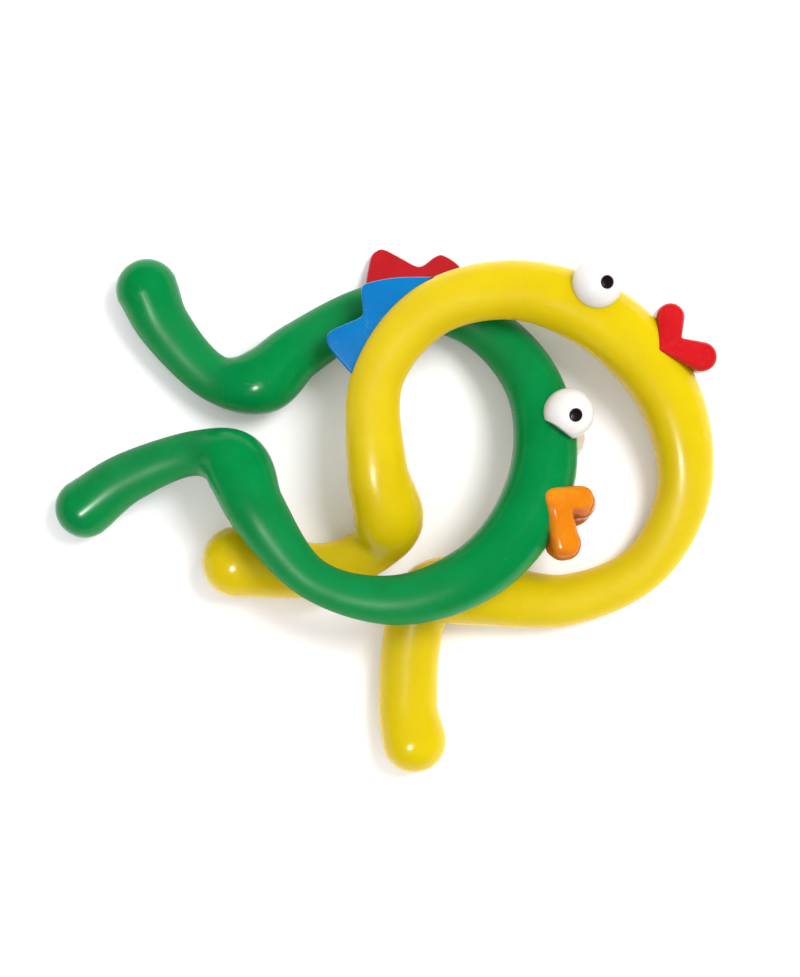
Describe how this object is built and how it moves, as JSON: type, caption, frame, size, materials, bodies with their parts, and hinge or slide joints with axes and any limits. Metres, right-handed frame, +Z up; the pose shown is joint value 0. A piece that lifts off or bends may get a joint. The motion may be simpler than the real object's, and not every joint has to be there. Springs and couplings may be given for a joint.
{
  "type": "twisty snake puzzle",
  "caption": "Linked pair of bent tubular plastic figures with splayed legs, ball eyes, puckered lips and flat crests, to be worked apart by turning one through the other.",
  "frame": {"origin": "middle of the bounding box in plan, on the table the figures lie on", "axes": "+Z up from the table, +X along the pair's longest extent from the green figure's legs towards the heads, +Y away from the yellow figure's downward leg"},
  "size_m": [0.1788, 0.1428, 0.0354],
  "materials": {
    "yellow_plastic": "glossy moulded plastic",
    "green_plastic": "glossy moulded plastic",
    "white_plastic": "glossy moulded plastic",
    "black_paint": "glossy",
    "red_plastic": "glossy moulded plastic",
    "blue_plastic": "glossy moulded plastic",
    "orange_plastic": "glossy moulded plastic"
  },
  "bodies": {
    "yellow_figure": {"yellow_upper_shell": "yellow_plastic", "yellow_lower_shell": "yellow_plastic", "yellow_front_eye": "white_plastic", "yellow_back_eye": "white_plastic", "yellow_front_pupil": "black_paint", "yellow_back_pupil": "black_paint", "yellow_lips": "red_plastic", "yellow_crest": "blue_plastic"},
    "green_figure": {"green_upper_shell": "green_plastic", "green_lower_shell": "green_plastic", "green_front_eye": "white_plastic", "green_back_eye": "white_plastic", "green_front_pupil": "black_paint", "green_back_pupil": "black_paint", "green_lips": "orange_plastic", "green_crest": "red_plastic"}
  },
  "joints": [
    {"name": "green_swing", "type": "hinge", "parent": "yellow_figure", "child": "green_figure", "pos_m": [0.024, 0.051, 0.022], "axis": [-0.866, -0.5, 0], "range_deg": [0, 80]}
  ]
}
